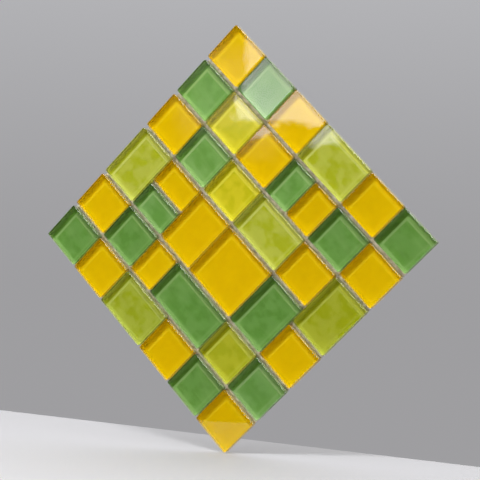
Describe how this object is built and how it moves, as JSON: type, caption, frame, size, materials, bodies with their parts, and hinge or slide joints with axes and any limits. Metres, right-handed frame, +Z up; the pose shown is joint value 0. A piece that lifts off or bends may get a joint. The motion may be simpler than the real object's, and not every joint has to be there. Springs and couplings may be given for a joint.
{
  "type": "glass mosaic panel",
  "caption": "Square sheet of thick glass mosaic tiles in yellow, green and lime, mesh-backed with open joints, shown standing on one corner as a diamond for fixing flat to a wall.",
  "frame": {"origin": "middle of the sheet's back, on the wall", "axes": "+Z up through the top corner, +X to the right corner, tiles face -Y, +Y into the wall"},
  "size_m": [0.425, 0.009, 0.425],
  "materials": {
    "yellow_glass": "clear polished glass over an even golden yellow coat on its back",
    "green_glass": "clear polished glass over a mid green coat with faint streaks",
    "lime_glass": "clear polished glass over a cloudy lime green coat",
    "yellow_lime_glass": "clear polished glass over a cloudy yellow-green coat",
    "glass_fibre_mesh": "white glass-fibre mesh stiffened with glue"
  },
  "bodies": {
    "root": {"mesh_backing": "glass_fibre_mesh", "yellow_tile_01": "yellow_glass", "yellow_tile_02": "yellow_glass", "yellow_tile_03": "yellow_glass", "yellow_tile_04": "yellow_glass", "yellow_tile_05": "yellow_glass", "yellow_tile_06": "yellow_glass", "yellow_tile_07": "yellow_glass", "yellow_tile_08": "yellow_glass", "yellow_tile_09": "yellow_glass", "yellow_tile_10": "yellow_glass", "yellow_tile_11": "yellow_glass", "yellow_tile_12": "yellow_glass", "yellow_tile_13": "yellow_glass", "yellow_tile_14": "yellow_glass", "yellow_tile_15": "yellow_glass", "yellow_tile_16": "yellow_glass", "yellow_tile_17": "yellow_glass", "green_tile_01": "green_glass", "green_tile_02": "green_glass", "green_tile_03": "green_glass", "green_tile_04": "green_glass", "green_tile_05": "green_glass", "green_tile_06": "green_glass", "green_tile_07": "green_glass", "green_tile_08": "green_glass", "green_tile_09": "green_glass", "green_tile_10": "green_glass", "green_tile_11": "green_glass", "green_tile_12": "green_glass", "green_tile_13": "green_glass", "lime_tile_01": "lime_glass", "lime_tile_02": "lime_glass", "lime_tile_03": "lime_glass", "lime_tile_04": "lime_glass", "lime_tile_05": "lime_glass", "yellow_lime_tile_01": "yellow_lime_glass", "yellow_lime_tile_02": "yellow_lime_glass", "yellow_lime_tile_03": "yellow_lime_glass"}
  },
  "joints": []
}
